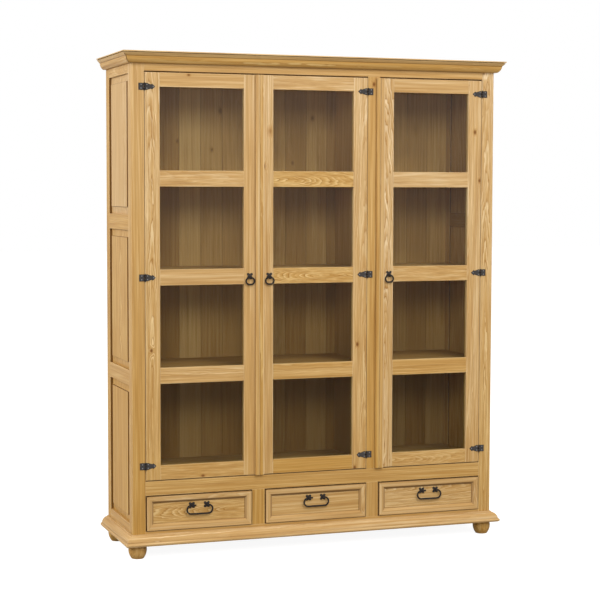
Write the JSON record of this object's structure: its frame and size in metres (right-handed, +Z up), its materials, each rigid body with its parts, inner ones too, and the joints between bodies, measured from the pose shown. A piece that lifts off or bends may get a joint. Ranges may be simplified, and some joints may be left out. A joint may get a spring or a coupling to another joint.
{
  "type": "display cabinet",
  "caption": "Tall waxed pine display cabinet with glazed doors on butterfly hinges, shelves inside, drawers with bail pulls below, and a moulded cornice and plinth on bun feet.",
  "frame": {"origin": "on the floor, under the middle of the cabinet's box", "axes": "+Z up, the doors face -Y, +X to the right as seen from the front"},
  "size_m": [1.556, 0.448, 1.898],
  "materials": {
    "waxed_pine": "satin wax",
    "plain_pine": "matt",
    "window_glass": "clear",
    "black_iron": "satin black"
  },
  "bodies": {
    "carcass": {"back_boards": "plain_pine", "base_board": "plain_pine", "cabinet_floor": "plain_pine", "centre_stile": "waxed_pine", "crown_mouldings": "waxed_pine", "door_catches": "plain_pine", "drawer_dividers": "waxed_pine", "drawer_runners": "plain_pine", "drawer_walls": "plain_pine", "feet": "waxed_pine", "fixed_strip": "waxed_pine", "front_rails": "waxed_pine", "front_stiles": "waxed_pine", "hinge_frame_leaves": "black_iron", "hinge_pins": "black_iron", "hinge_screws": "black_iron", "partition": "plain_pine", "plinth_frame": "waxed_pine", "shelf_battens": "plain_pine", "shelves": "plain_pine", "side_frames": "waxed_pine", "side_panels": "waxed_pine", "top_board": "waxed_pine"},
    "door_1": {"door_1_frame": "waxed_pine", "door_1_panes": "window_glass", "door_1_glazing_beads": "waxed_pine", "door_1_meeting_strip": "waxed_pine", "door_1_hinge_leaves": "black_iron", "door_1_pull_plate": "black_iron"},
    "door_1_ring": {"door_1_pull_ring": "black_iron"},
    "drawer_1": {"drawer_1_front_panel": "waxed_pine", "drawer_1_front_frame": "waxed_pine", "drawer_1_box": "plain_pine", "drawer_1_pull_plates": "black_iron"},
    "drawer_1_bail_body": {"drawer_1_bail": "black_iron"},
    "door_2": {"door_2_frame": "waxed_pine", "door_2_panes": "window_glass", "door_2_glazing_beads": "waxed_pine", "door_2_meeting_strip": "waxed_pine", "door_2_hinge_leaves": "black_iron", "door_2_pull_plate": "black_iron"},
    "door_2_ring": {"door_2_pull_ring": "black_iron"},
    "drawer_2": {"drawer_2_front_panel": "waxed_pine", "drawer_2_front_frame": "waxed_pine", "drawer_2_box": "plain_pine", "drawer_2_pull_plates": "black_iron"},
    "drawer_2_bail_body": {"drawer_2_bail": "black_iron"},
    "door_3": {"door_3_frame": "waxed_pine", "door_3_panes": "window_glass", "door_3_glazing_beads": "waxed_pine", "door_3_meeting_strip": "waxed_pine", "door_3_hinge_leaves": "black_iron", "door_3_pull_plate": "black_iron"},
    "door_3_ring": {"door_3_pull_ring": "black_iron"},
    "drawer_3": {"drawer_3_front_panel": "waxed_pine", "drawer_3_front_frame": "waxed_pine", "drawer_3_box": "plain_pine", "drawer_3_pull_plates": "black_iron"},
    "drawer_3_bail_body": {"drawer_3_bail": "black_iron"}
  },
  "joints": [
    {"name": "door_1_swing", "type": "hinge", "parent": "carcass", "child": "door_1", "pos_m": [-0.689, -0.1898, 1.06], "axis": [0, 0, -1], "range_deg": [0, 110]},
    {"name": "door_1_ring_swing", "type": "hinge", "parent": "door_1", "child": "door_1_ring", "pos_m": [-0.2795, -0.193, 1.055], "axis": [-1, 0, 0], "range_deg": [0, 90]},
    {"name": "door_2_swing", "type": "hinge", "parent": "carcass", "child": "door_2", "pos_m": [0.201, -0.1898, 1.06], "axis": [0, 0, 1], "range_deg": [0, 110]},
    {"name": "door_2_ring_swing", "type": "hinge", "parent": "door_2", "child": "door_2_ring", "pos_m": [-0.2015, -0.193, 1.055], "axis": [-1, 0, 0], "range_deg": [0, 90]},
    {"name": "door_3_swing", "type": "hinge", "parent": "carcass", "child": "door_3", "pos_m": [0.689, -0.1898, 1.06], "axis": [0, 0, 1], "range_deg": [0, 110]},
    {"name": "door_3_ring_swing", "type": "hinge", "parent": "door_3", "child": "door_3_ring", "pos_m": [0.293, -0.193, 1.055], "axis": [-1, 0, 0], "range_deg": [0, 90]},
    {"name": "drawer_1_slide", "type": "slide", "parent": "carcass", "child": "drawer_1", "axis": [0, -1, 0], "range_m": [0, 0.28]},
    {"name": "drawer_1_bail_swing", "type": "hinge", "parent": "drawer_1", "child": "drawer_1_bail_body", "pos_m": [-0.4795, -0.191, 0.193], "axis": [-1, 0, 0], "range_deg": [0, 90]},
    {"name": "drawer_2_slide", "type": "slide", "parent": "carcass", "child": "drawer_2", "axis": [0, -1, 0], "range_m": [0, 0.28]},
    {"name": "drawer_2_bail_swing", "type": "hinge", "parent": "drawer_2", "child": "drawer_2_bail_body", "pos_m": [-0.0085, -0.191, 0.193], "axis": [-1, 0, 0], "range_deg": [0, 90]},
    {"name": "drawer_3_slide", "type": "slide", "parent": "carcass", "child": "drawer_3", "axis": [0, -1, 0], "range_m": [0, 0.28]},
    {"name": "drawer_3_bail_swing", "type": "hinge", "parent": "drawer_3", "child": "drawer_3_bail_body", "pos_m": [0.471, -0.191, 0.193], "axis": [-1, 0, 0], "range_deg": [0, 90]}
  ]
}
